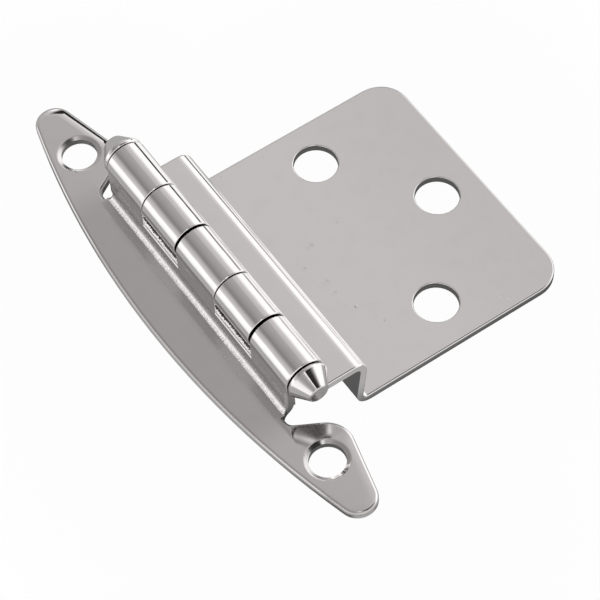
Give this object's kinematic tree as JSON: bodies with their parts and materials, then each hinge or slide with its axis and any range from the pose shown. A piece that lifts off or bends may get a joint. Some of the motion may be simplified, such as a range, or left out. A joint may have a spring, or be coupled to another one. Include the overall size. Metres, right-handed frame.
{
  "type": "cranked cabinet hinge",
  "caption": "Cranked sheet-metal cabinet hinge for a lipped inset door: a bowed show leaf with screw ears, a stepped door leaf with screw holes and a headed pin through the curled knuckles.",
  "frame": {"origin": "midway between the two frame screws, on the back face of the frame leaf, which lies on the cabinet's front", "axes": "+X from the frame leaf towards the door plate, +Y along the pin, +Z out of the cabinet's front"},
  "size_m": [0.0474, 0.069, 0.0179],
  "materials": {
    "frame_leaf_plating": "bright plated steel sheet with a rolled edge and fine specks",
    "door_leaf_plating": "bright plated steel sheet with fine specks",
    "pin_plating": "bright plated steel"
  },
  "bodies": {
    "frame": {"frame_leaf": "frame_leaf_plating", "hinge_pin": "pin_plating"},
    "door": {"door_leaf": "door_leaf_plating"}
  },
  "joints": [
    {"name": "pin_hinge", "type": "hinge", "parent": "frame", "child": "door", "pos_m": [0.0025, 0, 0.00655], "axis": [0, -1, 0], "range_deg": [-30, 240]}
  ]
}
